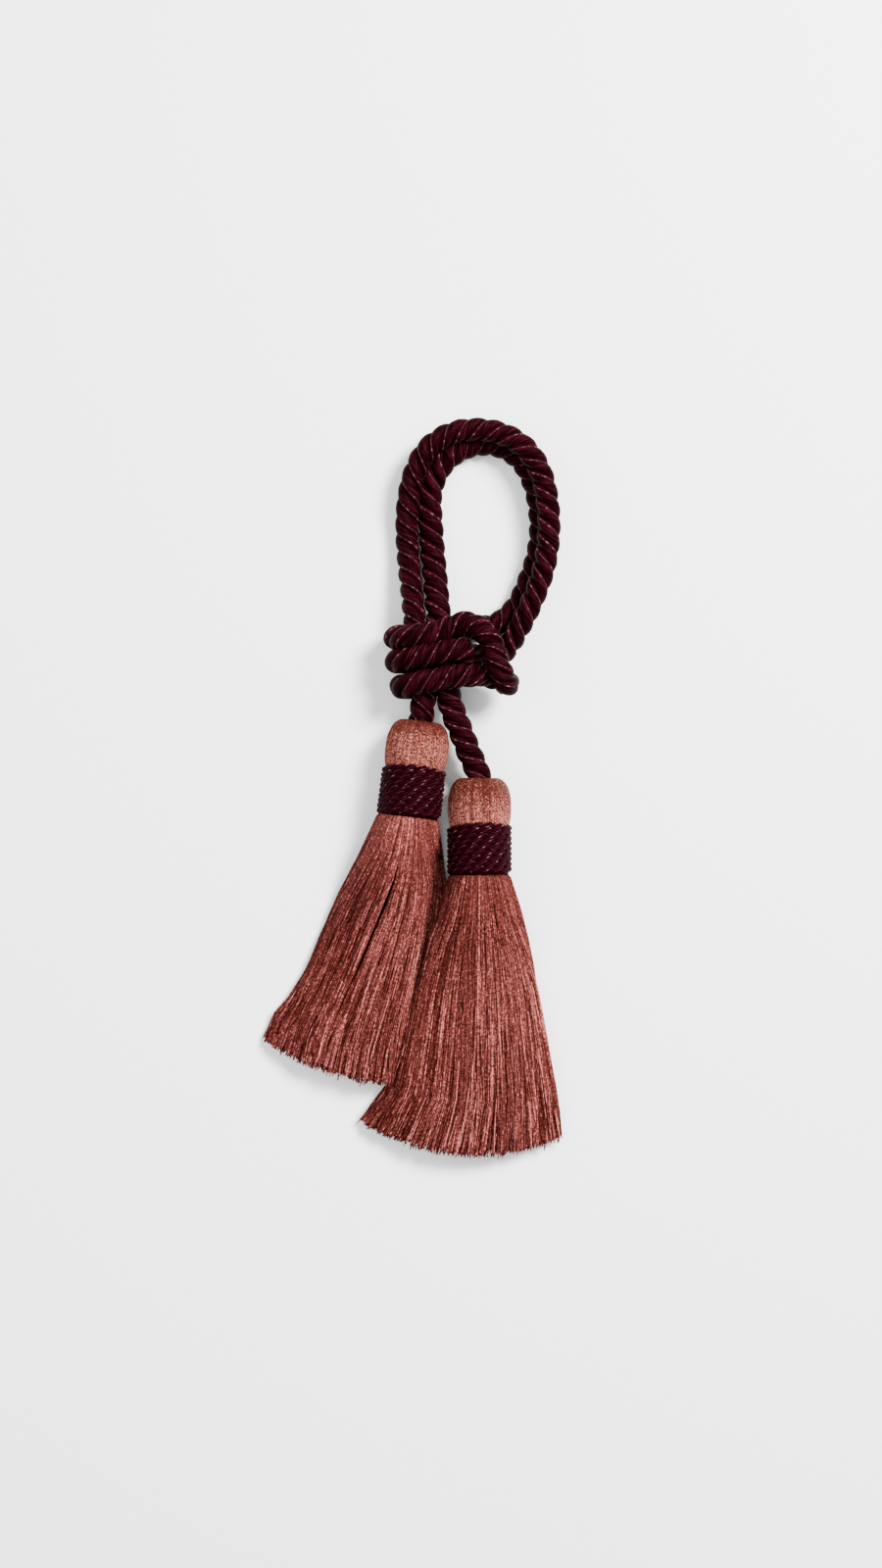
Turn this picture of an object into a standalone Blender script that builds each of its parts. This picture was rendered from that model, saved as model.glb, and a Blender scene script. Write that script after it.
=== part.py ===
"""Double-tassel cord ornament: one twisted rope, knotted into a loop, with a silk tassel on each end.

It is modelled as it lies on a table. +Z is up, +Y runs from the skirts to the loop and +X is to the
right. The base is z = 0, and x = y = 0 is the middle of the two tassels.
"""

import math

import bmesh
import bpy
import numpy as np

for old in list(bpy.data.objects):
    bpy.data.objects.remove(old, do_unlink=True)

MM = 0.001

# Rope
ROPE_RADIUS = 2.85 * MM
ROPE_RADIUS_IN_KNOT = 2.70 * MM
ROPE_VALLEY = 0.80
ROPE_LAY = 13.0 * MM
ROPE_STEP = 1.5 * MM

# Tassel head and neck, measured along the tassel's axis from the binding's lower edge
AXIS_HEIGHT = 8.35 * MM
HEAD_RADIUS = 7.95 * MM
HEAD_LENGTH = 12.0 * MM
NECK_RADIUS = 6.75 * MM
COLLAR_RADIUS = 7.60 * MM
COLLAR_DROP = 1.1 * MM
DIMPLE_DEPTH = 1.0 * MM
CLEARANCE = 0.3 * MM

# Neck binding
BINDING_LENGTH = 13.2 * MM
BINDING_BORE = 7.15 * MM
BINDING_TURNS = 9
BINDING_GROOVE = 0.42 * MM
BINDING_SIDES = 24

# Skirt locks
COLUMNS = 16
ROWS = 6
STATIONS = (0.0, 0.18, 0.5, 1.0)
PARTING = 0.16
RAGGED = 0.055


def unit(v):
    return v / np.linalg.norm(v)


def smoothstep(t):
    t = min(max(t, 0.0), 1.0)
    return t * t * (3.0 - 2.0 * t)


def mix(a, b, t):
    return a + (b - a) * t


def add_object(name, verts, faces, colour, roughness):
    mesh = bpy.data.meshes.new(name)
    mesh.from_pydata([tuple(v) for v in verts], [], faces)
    bm = bmesh.new()
    bm.from_mesh(mesh)
    bmesh.ops.recalc_face_normals(bm, faces=bm.faces)
    bm.to_mesh(mesh)
    bm.free()
    mat = bpy.data.materials.new(name)
    mat.use_nodes = True
    shader = mat.node_tree.nodes["Principled BSDF"]
    shader.inputs["Base Color"].default_value = (*colour, 1.0)
    shader.inputs["Roughness"].default_value = roughness
    mesh.materials.append(mat)
    obj = bpy.data.objects.new(name, mesh)
    bpy.context.scene.collection.objects.link(obj)
    return obj


# Rope

# The way of the rope's centre in millimetres, from the left tassel to the right one.
ROUTE = [
    # out of the left tassel and up through the knot
    (2.5, 54.2, 8.35), (2.85, 56.7, 8.4), (3.3, 59.7, 8.55), (3.4, 62.7, 8.65), (2.75, 66.6, 8.65),
    (2.1, 71.1, 8.65), (1.6, 76.1, 8.65),
    # outer turn of the loop: up the left side, over the top and down the right side
    (1.0, 80.6, 8.2), (0.4, 86.6, 6.4), (-0.4, 94.1, 4.3), (-1.0, 102.4, 3.4), (-0.65, 110.9, 5.2),
    (1.0, 118.1, 6.7), (4.5, 124.4, 7.2), (10.25, 128.1, 7.5), (17.0, 129.1, 7.9), (23.75, 127.8, 8.2),
    (29.5, 124.0, 8.5), (33.25, 117.9, 8.6), (35.0, 109.9, 8.6), (35.25, 102.4, 8.6), (33.9, 94.4, 8.5),
    (31.5, 87.9, 8.3), (29.0, 81.9, 7.9), (26.75, 76.9, 6.6), (24.5, 73.1, 4.6), (21.0, 71.25, 3.2),
    # middle turn of the knot: behind, round the left side and across the front
    (16.25, 71.6, 2.95), (10.25, 72.25, 2.9), (2.5, 69.9, 2.9), (-2.0, 69.9, 4.4), (-3.75, 69.9, 8.65),
    (-2.0, 69.9, 12.9), (2.5, 70.25, 14.5), (7.75, 71.25, 14.5), (12.0, 71.6, 12.7), (14.25, 69.75, 9.0),
    (13.65, 66.9, 5.5),
    # lower turn of the knot
    (10.0, 65.75, 3.15), (3.25, 63.6, 3.0), (-0.75, 63.4, 4.4), (-2.5, 63.4, 8.65), (-0.75, 63.5, 12.9),
    (3.25, 63.75, 14.5), (9.0, 64.5, 14.5), (14.0, 65.6, 14.0),
    # the bight at the lower right, then up over the two strands of the loop
    (17.0, 66.25, 12.6), (19.25, 66.5, 10.1), (21.5, 65.9, 8.0), (24.0, 64.9, 8.0), (25.9, 64.0, 10.4),
    (25.75, 64.1, 13.4), (24.5, 66.25, 15.4), (23.0, 69.6, 15.4), (21.5, 73.6, 14.6), (19.4, 77.1, 14.4),
    (16.25, 79.25, 14.6),
    # upper turn of the knot
    (12.5, 79.0, 14.6), (7.75, 77.4, 14.5), (2.25, 76.25, 14.5), (-2.1, 76.0, 12.9), (-4.0, 75.9, 8.65),
    (-2.1, 76.0, 4.4), (2.25, 76.4, 2.9), (8.25, 78.1, 2.9), (14.75, 79.5, 2.9),
    # inner turn of the loop: up the right side, over the top and down the left side
    (20.0, 79.9, 2.9), (23.5, 81.4, 2.9), (27.0, 84.6, 2.9), (30.0, 89.4, 2.9), (32.25, 95.4, 2.9),
    (33.5, 102.1, 2.9), (33.25, 109.4, 2.9), (31.6, 116.4, 2.9), (28.0, 121.9, 2.9), (22.5, 125.1, 2.9),
    (16.25, 125.5, 2.9), (10.5, 123.4, 2.9), (6.6, 119.1, 2.9), (4.9, 113.1, 2.9), (5.1, 105.4, 3.0),
    (5.6, 98.1, 3.4), (6.25, 91.1, 4.9), (6.75, 84.9, 7.2), (7.25, 80.4, 8.4),
    # down through the knot and into the right tassel
    (7.6, 76.1, 8.65), (8.1, 71.1, 8.65), (8.9, 66.6, 8.75), (9.75, 62.1, 8.75), (11.25, 57.1, 8.6),
    (13.4, 51.9, 8.5), (15.75, 46.2, 8.4), (17.3, 42.3, 8.35), (17.5, 39.85, 8.35),
]
KNOT_SPANS = [(-1.0, 1.0), (2.2, 7.3), (24.5, 68.0), (84.0, 89.6), (92.5, 95.0)]


def rope_centre():
    """Points every half millimetre along the rope, with the rope's radius at each."""
    pts = np.array(ROUTE) * MM
    ends = np.vstack([2 * pts[0] - pts[1], pts, 2 * pts[-1] - pts[-2]])
    line = []
    owner = []
    for i in range(len(pts) - 1):
        p0, p1, p2, p3 = ends[i:i + 4]
        t1 = math.sqrt(np.linalg.norm(p1 - p0))
        t2 = t1 + math.sqrt(np.linalg.norm(p2 - p1))
        t3 = t2 + math.sqrt(np.linalg.norm(p3 - p2))
        for k in range(16):
            t = t1 + (t2 - t1) * k / 16
            a1 = mix(p0, p1, t / t1)
            a2 = mix(p1, p2, (t - t1) / (t2 - t1))
            a3 = mix(p2, p3, (t - t2) / (t3 - t2))
            b1 = mix(a1, a2, t / t2)
            b2 = mix(a2, a3, (t - t1) / (t3 - t1))
            line.append(mix(b1, b2, (t - t1) / (t2 - t1)))
            owner.append(i + k / 16)
    line = np.array(line + [pts[-1]])
    owner = np.array(owner + [len(pts) - 1.0])
    run = np.concatenate([[0.0], np.cumsum(np.linalg.norm(np.diff(line, axis=0), axis=1))])
    marks = np.linspace(0.0, run[-1], int(run[-1] / (0.5 * MM)) + 1)
    line = np.stack([np.interp(marks, run, line[:, k]) for k in range(3)], axis=1)
    owner = np.interp(marks, run, owner)
    for _ in range(6):
        line[1:-1] = (line[:-2] + 2 * line[1:-1] + line[2:]) / 4
    squeezed = np.zeros(len(marks))
    for first, last in KNOT_SPANS:
        squeezed[(owner > first) & (owner < last)] = 1.0
    for _ in range(8):
        squeezed[1:-1] = (squeezed[:-2] + 2 * squeezed[1:-1] + squeezed[2:]) / 4
    return line, mix(ROPE_RADIUS, ROPE_RADIUS_IN_KNOT, squeezed)


def build_rope():
    line, radius = rope_centre()
    run = np.concatenate([[0.0], np.cumsum(np.linalg.norm(np.diff(line, axis=0), axis=1))])
    count = int(round(run[-1] / ROPE_STEP))
    marks = np.linspace(0.0, run[-1], count + 1)
    centre = np.stack([np.interp(marks, run, line[:, k]) for k in range(3)], axis=1)
    size = np.interp(marks, run, radius)
    tangent = np.gradient(centre, axis=0)
    tangent /= np.linalg.norm(tangent, axis=1)[:, None]
    side = unit(np.cross(tangent[0], (0.0, 0.0, 1.0)))
    # three strands, each a valley and two shoulders
    section = []
    for strand in range(3):
        base = strand * 120.0
        section += [(base, ROPE_VALLEY), (base + 38.0, 1.0), (base + 82.0, 1.0)]
    verts = []
    for i in range(count + 1):
        side = unit(side - tangent[i] * np.dot(side, tangent[i]))
        other = np.cross(tangent[i], side)
        twist = -2.0 * math.pi * marks[i] / ROPE_LAY
        for degrees, scale in section:
            angle = math.radians(degrees) + twist
            verts.append(centre[i] + size[i] * scale * (math.cos(angle) * side + math.sin(angle) * other))
    n = len(section)
    faces = []
    for i in range(count):
        for j in range(n):
            a = i * n + j
            b = i * n + (j + 1) % n
            faces.append((a, b, b + n))
            faces.append((a, b + n, a + n))
    for first, flip in ((0, False), (count * n, True)):
        cap = len(verts)
        verts.append(centre[0] if first == 0 else centre[-1])
        for j in range(n):
            a = first + j
            b = first + (j + 1) % n
            faces.append((cap, a, b) if flip else (cap, b, a))
    return add_object("cord", verts, faces, (0.085, 0.006, 0.022), 0.45)


# Tassels


def disc(a, b):
    """Maps the square -1..1 to the unit disc."""
    return a * math.sqrt(1.0 - 0.5 * b * b), b * math.sqrt(1.0 - 0.5 * a * a)


def along(points, t):
    """The point at the share t of a broken line's length."""
    pts = np.array(points)
    run = np.concatenate([[0.0], np.cumsum(np.linalg.norm(np.diff(pts, axis=0), axis=1))])
    return np.array([np.interp(t * run[-1], run, pts[:, k]) for k in range(2)])


def build_tassel(name, neck, up, left_edge, right_edge, skirt, seed):
    """One thread bundle: domed head, bound neck and a skirt of separate locks, as one solid.

    neck is the centre of the binding's lower edge and up points along the axis to the head.
    left_edge and right_edge are the skirt's two sides in plan, from the collar to the hem.
    """
    rng = np.random.RandomState(seed)
    up = unit(np.array(up))
    down = -up
    side = np.array((up[1], -up[0]))
    neck = np.array(neck) * MM
    collar = neck + down * COLLAR_DROP
    left = [collar - side * COLLAR_RADIUS] + [np.array(p) * MM for p in left_edge]
    right = [collar + side * COLLAR_RADIUS] + [np.array(p) * MM for p in right_edge]

    def point(a, b, t, low=False):
        """A place in the skirt: a across it and b up through it, both -1..1, and t down its length."""
        pressed = skirt["right_side_under"] and a > 0.0
        fall = smoothstep(t / (0.46 - 0.34 * a if pressed else 0.46))
        wide = a * mix(math.sqrt(1.0 - 0.5 * b * b), 1.0, fall)
        flat = mix(along(left, t), along(right, t), (wide + 1.0) / 2.0)
        flat = flat + down * skirt["bulge"] * MM * (1.0 - a * a) * t * t
        full = 1.0 - smoothstep((a - 0.1) / 0.45) if pressed else 1.0 - a * a
        thick = mix(skirt["thick"], skirt["thick_hem"], t) * mix(skirt["edge"], 1.0, full) * MM
        droop = 1.0 - 0.55 * smoothstep((t - 0.75) / 0.25)
        floor = skirt["left_side_lift"] * MM * smoothstep((-0.25 - a) / 0.27) * droop
        round_z = AXIS_HEIGHT + COLLAR_RADIUS * disc(a, b)[1]
        flat_z = floor if low else floor + thick * (b + 1.0) / 2.0
        return np.array((flat[0], flat[1], mix(round_z, flat_z, fall)))

    verts = []
    faces = []
    # root grid at the collar
    grid = {}
    for i in range(COLUMNS + 1):
        for j in range(ROWS + 1):
            grid[i, j] = len(verts)
            verts.append(point(2.0 * i / COLUMNS - 1.0, 2.0 * j / ROWS - 1.0, 0.0))
    # locks
    for i in range(COLUMNS):
        for j in range(ROWS):
            a0, a1 = 2.0 * i / COLUMNS - 1.0, 2.0 * (i + 1) / COLUMNS - 1.0
            b0, b1 = 2.0 * j / ROWS - 1.0, 2.0 * (j + 1) / ROWS - 1.0
            end = 1.0 - RAGGED * rng.rand()
            drift = (rng.rand() - 0.5) * 0.07 * (a1 - a0)
            previous = [grid[i, j], grid[i + 1, j], grid[i + 1, j + 1], grid[i, j + 1]]
            for station in STATIONS:
                t = station * end
                gap_a = mix(0.14, 0.11, station) * (a1 - a0)
                gap_b = mix(0.07, 0.12, station) * (b1 - b0)
                west = a0 + gap_a + drift * station
                east = a1 - gap_a + drift * station
                if i == skirt["parting"]:
                    west += PARTING * (a1 - a0) * station
                if i + 1 == skirt["parting"]:
                    east -= PARTING * (a1 - a0) * station
                corners = ((west, b0 + gap_b), (east, b0 + gap_b), (east, b1 - gap_b), (west, b1 - gap_b))
                current = []
                for c, (a, b) in enumerate(corners):
                    current.append(len(verts))
                    verts.append(point(a, b, t, low=(j == 0 and c < 2)))
                for c in range(4):
                    d = (c + 1) % 4
                    faces.append((previous[c], previous[d], current[d], current[c]))
                previous = current
            faces.append(tuple(previous))
    # head and neck, turned about the axis on the root grid's rim
    rim = [(i, 0) for i in range(COLUMNS)]
    rim += [(COLUMNS, j) for j in range(ROWS)]
    rim += [(i, ROWS) for i in range(COLUMNS, 0, -1)]
    rim += [(0, j) for j in range(ROWS, 0, -1)]
    directions = []
    for i, j in rim:
        x, z = disc(2.0 * i / COLUMNS - 1.0, 2.0 * j / ROWS - 1.0)
        directions.append((x, z))
    top = BINDING_LENGTH + HEAD_LENGTH
    profile = [
        (COLLAR_RADIUS - 0.1 * MM, -CLEARANCE - 0.15 * MM),
        (NECK_RADIUS, -CLEARANCE),
        (NECK_RADIUS, BINDING_LENGTH + CLEARANCE),
        (7.55 * MM, BINDING_LENGTH + CLEARANCE + 0.05 * MM),
        (HEAD_RADIUS, BINDING_LENGTH + 1.4 * MM),
        (HEAD_RADIUS, top - 5.5 * MM),
        (7.70 * MM, top - 3.0 * MM),
        (7.00 * MM, top - 1.3 * MM),
        (5.80 * MM, top - 0.35 * MM),
        (4.40 * MM, top),
        (3.55 * MM, top - 0.2 * MM),
        (3.30 * MM, top - DIMPLE_DEPTH),
    ]
    ring = [grid[key] for key in rim]
    for radius, height in profile:
        new = []
        for x, z in directions:
            new.append(len(verts))
            flat = neck + up * height + side * x * radius
            verts.append((flat[0], flat[1], AXIS_HEIGHT + z * radius))
        for c in range(len(ring)):
            d = (c + 1) % len(ring)
            faces.append((ring[c], new[c], new[d], ring[d]))
        ring = new
    centre = neck + up * (top - DIMPLE_DEPTH)
    verts.append((centre[0], centre[1], AXIS_HEIGHT))
    for c in range(len(ring)):
        faces.append((ring[c], len(verts) - 1, ring[(c + 1) % len(ring)]))
    return add_object(name, verts, faces, (0.47, 0.14, 0.115), 0.5)


def build_binding(name, neck, up):
    """The wound neck cord: nine touching turns, as one ribbed sleeve that is flat where it lies."""
    up = unit(np.array(up))
    side = np.array((up[1], -up[0]))
    neck = np.array(neck) * MM
    crest = AXIS_HEIGHT / math.cos(math.pi / BINDING_SIDES)
    pitch = BINDING_LENGTH / BINDING_TURNS
    profile = [(BINDING_BORE, 0.0), (BINDING_BORE, BINDING_LENGTH), (crest - BINDING_GROOVE, BINDING_LENGTH)]
    for turn in range(BINDING_TURNS):
        start = BINDING_LENGTH - turn * pitch
        profile.append((crest, start - 0.32 * pitch))
        profile.append((crest, start - 0.68 * pitch))
        profile.append((crest - BINDING_GROOVE, start - pitch))
    verts = []
    faces = []
    n = len(profile)
    for k in range(BINDING_SIDES):
        angle = 2.0 * math.pi * (k + 0.5) / BINDING_SIDES
        x, z = math.sin(angle), -math.cos(angle)
        for radius, height in profile:
            flat = neck + up * height + side * x * radius
            verts.append((flat[0], flat[1], AXIS_HEIGHT + z * radius))
    for k in range(BINDING_SIDES):
        m = (k + 1) % BINDING_SIDES
        for c in range(n):
            d = (c + 1) % n
            faces.append((k * n + c, k * n + d, m * n + d, m * n + c))
    return add_object(name, verts, faces, (0.07, 0.006, 0.02), 0.4)


LEFT_NECK = (-0.65, 29.8)
LEFT_UP = (0.127, 0.992)
RIGHT_NECK = (17.55, 15.1)
RIGHT_UP = (0.0, 1.0)

build_rope()
build_tassel(
    "tassel_left", LEFT_NECK, LEFT_UP,
    [(-12.25, 22.6), (-16.75, 13.6), (-21.0, 3.9), (-25.0, -5.9), (-29.9, -14.9), (-34.75, -19.4),
     (-37.75, -24.6)],
    [(7.6, 23.4), (8.75, 16.6), (9.1, 11.0), (8.25, -1.4), (6.75, -13.9), (5.25, -26.4), (4.25, -37.4)],
    {"bulge": 4.0, "thick": 10.0, "thick_hem": 7.0, "edge": 0.33,
     "left_side_lift": 0.0, "right_side_under": True, "parting": 6}, 3)
build_tassel(
    "tassel_right", RIGHT_NECK, RIGHT_UP,
    [(8.1, 9.1), (5.0, 0.1), (2.0, -12.6), (-1.75, -27.6), (-4.75, -38.1), (-12.25, -47.9)],
    [(28.25, 6.1), (30.75, -3.6), (32.75, -16.4), (35.0, -29.9), (37.25, -44.9), (37.8, -51.9)],
    {"bulge": 5.5, "thick": 10.0, "thick_hem": 7.5, "edge": 0.42,
     "left_side_lift": 3.9, "right_side_under": False, "parting": None}, 5)
build_binding("binding_left", LEFT_NECK, LEFT_UP)
build_binding("binding_right", RIGHT_NECK, RIGHT_UP)
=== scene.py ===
import math

import bpy
import numpy as np
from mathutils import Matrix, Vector


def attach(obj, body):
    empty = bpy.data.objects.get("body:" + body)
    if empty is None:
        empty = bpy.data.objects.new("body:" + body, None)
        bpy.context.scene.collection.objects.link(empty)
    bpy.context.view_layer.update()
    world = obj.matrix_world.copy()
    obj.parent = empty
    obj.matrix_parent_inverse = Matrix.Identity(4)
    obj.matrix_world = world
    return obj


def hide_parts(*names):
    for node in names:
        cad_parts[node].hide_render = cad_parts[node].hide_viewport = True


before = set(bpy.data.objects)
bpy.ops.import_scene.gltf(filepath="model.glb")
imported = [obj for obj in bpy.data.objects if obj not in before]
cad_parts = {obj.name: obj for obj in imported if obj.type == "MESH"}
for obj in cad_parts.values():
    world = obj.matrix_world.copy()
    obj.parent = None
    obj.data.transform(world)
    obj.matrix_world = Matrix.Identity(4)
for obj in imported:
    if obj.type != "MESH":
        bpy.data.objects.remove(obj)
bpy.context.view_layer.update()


# Table, daylight and camera: a pale matt table top, lit by a window at the upper right, by the weaker
# light that a pale wall and the ceiling throw back, and by a pale sky. The camera is straight above.

MM = 0.001
VIEW_CENTRE = Vector((7.75, 38.6, 8.0)) * MM
VIEW_HEIGHT = 400 * MM
CAMERA_DISTANCE = 750 * MM
SENSOR_HEIGHT = 24.0
TABLE_REACH = 4.0
TABLE_DROP = 0.02 * MM
TABLE_WHITE = (0.93, 0.93, 0.93, 1)
SKY_COLOUR = (0.96, 0.98, 1.0, 1)
SKY_STRENGTH = 0.80

camera_data = bpy.data.cameras.new("camera")
camera_data.sensor_fit = "VERTICAL"
camera_data.sensor_height = SENSOR_HEIGHT
camera_data.lens = SENSOR_HEIGHT * CAMERA_DISTANCE / VIEW_HEIGHT
camera_data.clip_start = 0.01
camera = bpy.data.objects.new("camera", camera_data)
camera.location = VIEW_CENTRE + Vector((0.0, 0.0, CAMERA_DISTANCE))
bpy.context.scene.collection.objects.link(camera)
bpy.context.scene.camera = camera

table_mesh = bpy.data.meshes.new("table_top")
corners = [(x * TABLE_REACH, y * TABLE_REACH, 0) for x, y in ((-1, -1), (1, -1), (1, 1), (-1, 1))]
table_mesh.from_pydata(corners, [], [(0, 1, 2, 3)])
table_finish = bpy.data.materials.new("table_top")
table_finish.use_nodes = True
shader = table_finish.node_tree.nodes["Principled BSDF"]
shader.inputs["Base Color"].default_value = TABLE_WHITE
shader.inputs["Roughness"].default_value = 0.9
table_mesh.materials.append(table_finish)
table = bpy.data.objects.new("table_top", table_mesh)
table.location = (0, 0, -TABLE_DROP)
bpy.context.scene.collection.objects.link(table)

world = bpy.data.worlds.new("daylight")
bpy.context.scene.world = world
world.use_nodes = True
sky = world.node_tree.nodes["Background"]
sky.inputs["Color"].default_value = SKY_COLOUR
sky.inputs["Strength"].default_value = SKY_STRENGTH

for lamp_name, place, size, power in (
        ("window", (0.47, 0.42, 0.70), 0.30, 39.0),
        ("pale_wall", (-0.55, 0.15, 0.65), 0.60, 5.0),
        ("ceiling", (-0.10, -0.10, 1.1), 0.9, 5.0)):
    lamp_data = bpy.data.lights.new(lamp_name, "AREA")
    lamp_data.size = size
    lamp_data.energy = power
    lamp = bpy.data.objects.new(lamp_name, lamp_data)
    lamp.location = place
    lamp.rotation_euler = (VIEW_CENTRE - Vector(place)).to_track_quat("-Z", "Y").to_euler()
    bpy.context.scene.collection.objects.link(lamp)


# Rope: one length of three-strand cord in burgundy rayon, laid to the left. It leaves the left
# tassel, makes the loop twice, wraps the two standing strands three times as a knot and ends in the
# right tassel. A fine metallic thread is laid into each groove between the strands.

ROPE_LAY = 13.0 * MM
STRAND_RADIUS = 1.47 * MM
STRAND_OFFSET = 1.60 * MM
ACCENT_OFFSET = 2.74 * MM
ACCENT_RADIUS = 0.18 * MM
ROPE_STEP = 0.5 * MM

route = np.array([
    # out of the left tassel and up through the knot
    (2.5, 54.2, 8.35), (2.85, 56.7, 8.4), (3.3, 59.7, 8.55), (3.4, 62.7, 8.65), (2.75, 66.6, 8.65),
    (2.1, 71.1, 8.65), (1.6, 76.1, 8.65),
    # outer turn of the loop: up the left side, over the top and down the right side
    (1.0, 80.6, 8.2), (0.4, 86.6, 6.4), (-0.4, 94.1, 4.3), (-1.0, 102.4, 3.4), (-0.65, 110.9, 5.2),
    (1.0, 118.1, 6.7), (4.5, 124.4, 7.2), (10.25, 128.1, 7.5), (17.0, 129.1, 7.9), (23.75, 127.8, 8.2),
    (29.5, 124.0, 8.5), (33.25, 117.9, 8.6), (35.0, 109.9, 8.6), (35.25, 102.4, 8.6), (34.2, 94.4, 8.5),
    (32.1, 87.9, 8.3), (29.5, 81.9, 7.9), (26.8, 76.9, 6.6), (24.5, 73.1, 4.6), (21.0, 71.25, 3.2),
    # middle turn of the knot: behind, round the left side and across the front
    (16.25, 71.6, 2.95), (10.25, 72.25, 2.9), (2.5, 69.9, 2.9), (-2.0, 69.9, 4.4), (-3.75, 69.9, 8.65),
    (-2.0, 70.1, 12.9), (2.5, 70.9, 14.5), (8.0, 72.2, 14.6), (13.0, 72.9, 13.0), (15.5, 71.4, 9.4),
    (14.6, 68.2, 5.7),
    # lower turn of the knot
    (10.0, 65.75, 3.15), (3.25, 63.6, 3.0), (-0.75, 63.4, 4.4), (-2.5, 63.4, 8.65), (-0.75, 63.5, 12.9),
    (3.25, 64.5, 14.5), (9.0, 65.4, 14.5), (14.0, 66.1, 14.0),
    # the bight at the lower right, then up over the two strands of the loop
    (16.8, 66.25, 12.6), (18.8, 66.5, 10.1), (20.8, 65.9, 8.0), (23.0, 64.9, 8.0), (24.8, 64.0, 10.4),
    (24.5, 64.3, 13.4), (23.1, 66.6, 15.4), (21.9, 69.9, 15.4), (20.8, 73.8, 14.8), (18.4, 77.3, 14.6),
    (15.0, 79.4, 14.6),
    # upper turn of the knot
    (11.6, 78.8, 14.6), (7.4, 77.4, 14.5), (2.25, 76.25, 14.5), (-2.1, 76.0, 12.9), (-4.0, 75.9, 8.65),
    (-2.1, 76.0, 4.4), (2.25, 76.4, 2.9), (8.25, 77.7, 2.9), (14.75, 78.5, 2.9),
    # inner turn of the loop: up the right side, over the top and down the left side
    (20.5, 79.1, 2.9), (24.1, 80.9, 2.9), (27.4, 84.4, 2.9), (30.0, 89.4, 2.9), (32.25, 95.4, 2.9),
    (33.5, 102.1, 2.9), (33.25, 109.4, 2.9), (31.6, 116.4, 2.9), (28.2, 122.2, 2.9), (22.7, 125.6, 2.9),
    (16.4, 125.9, 2.9), (10.6, 123.3, 2.9), (6.8, 118.9, 2.9), (4.9, 113.1, 2.9), (5.1, 105.4, 3.0),
    (5.6, 98.1, 3.4), (6.25, 91.1, 4.9), (6.75, 84.9, 7.2), (7.25, 80.4, 8.4),
    # down through the knot and into the right tassel
    (7.6, 76.1, 8.65), (8.1, 71.1, 8.65), (8.8, 66.6, 8.75), (9.4, 62.1, 8.75), (10.8, 57.1, 8.6),
    (12.9, 51.9, 8.5), (15.1, 46.2, 8.4), (16.9, 42.3, 8.35), (17.5, 39.85, 8.35),
]) * MM

# the rope is a little fuller than its named size along these stretches, given as points of the route:
# in the knot, above the left head, and from the knot round the inner turn to the right head
KNOT_STRETCH = (24.5, 68.0)
KNOT_SWELL = 0.03
LEFT_STRETCH_END = 3.5
RIGHT_STRETCH_START = 68.5
STRETCH_SWELL = 0.09
TABLE_CLEARANCE = 0.03 * MM


def even_line(line, step, *followers):
    """The line again with points an even step apart, and what goes with its points."""
    run = np.concatenate([[0.0], np.cumsum(np.linalg.norm(np.diff(line, axis=0), axis=1))])
    marks = np.linspace(0.0, run[-1], int(round(run[-1] / step)) + 1)
    placed = np.stack([np.interp(marks, run, line[:, k]) for k in range(3)], axis=1)
    return (placed, marks) + tuple(np.interp(marks, run, f) for f in followers)


def smoothed(values, rounds):
    """The values, with all but the first and last drawn towards their neighbours in each round."""
    values = np.array(values, dtype=float)
    for _ in range(rounds):
        values[1:-1] = (values[:-2] + 2 * values[1:-1] + values[2:]) / 4
    return values


def rope_centre(step):
    """The rope's centre line, the distance along it and how full it is at each point."""
    ends = np.vstack([2 * route[0] - route[1], route, 2 * route[-1] - route[-2]])
    line = []
    owner = []
    for i in range(len(route) - 1):
        p0, p1, p2, p3 = ends[i:i + 4]
        t1 = math.sqrt(np.linalg.norm(p1 - p0))
        t2 = t1 + math.sqrt(np.linalg.norm(p2 - p1))
        t3 = t2 + math.sqrt(np.linalg.norm(p3 - p2))
        for k in range(16):
            t = t1 + (t2 - t1) * k / 16
            a1 = p0 + (p1 - p0) * t / t1
            a2 = p1 + (p2 - p1) * (t - t1) / (t2 - t1)
            a3 = p2 + (p3 - p2) * (t - t2) / (t3 - t2)
            b1 = a1 + (a2 - a1) * t / t2
            b2 = a2 + (a3 - a2) * (t - t1) / (t3 - t1)
            line.append(b1 + (b2 - b1) * (t - t1) / (t2 - t1))
            owner.append(i + k / 16)
    owner = np.array(owner + [len(route) - 1.0])
    line, marks, owner = even_line(np.array(line + [route[-1]]), ROPE_STEP, owner)
    line = smoothed(line, 6)
    knotted = smoothed((owner > KNOT_STRETCH[0]) & (owner < KNOT_STRETCH[1]), 8)
    fuller = smoothed((owner < LEFT_STRETCH_END) | (owner > RIGHT_STRETCH_START), 12)
    size = 1.0 + KNOT_SWELL * knotted + STRETCH_SWELL * fuller
    line[:, 2] = np.maximum(line[:, 2], (STRAND_OFFSET + STRAND_RADIUS) * size + TABLE_CLEARANCE)
    return even_line(line, step, size)


def travelling_frame(line):
    """Two unit directions across the line at each point, carried along it without turning about it."""
    tangent = np.gradient(line, axis=0)
    tangent /= np.linalg.norm(tangent, axis=1)[:, None]
    across = np.cross(tangent[0], (0.0, 0.0, 1.0))
    first = np.empty_like(line)
    for i in range(len(line)):
        across = across - tangent[i] * np.dot(across, tangent[i])
        across /= np.linalg.norm(across)
        first[i] = across
    return first, np.cross(tangent, first)


def helix_about(line, marks, size, offset, lay, start):
    """A strand's way round a centre line, laid to the left."""
    first, second = travelling_frame(line)
    angle = start - 2.0 * math.pi * marks / lay
    reach = offset * size
    return line + (reach * np.cos(angle))[:, None] * first + (reach * np.sin(angle))[:, None] * second


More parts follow.
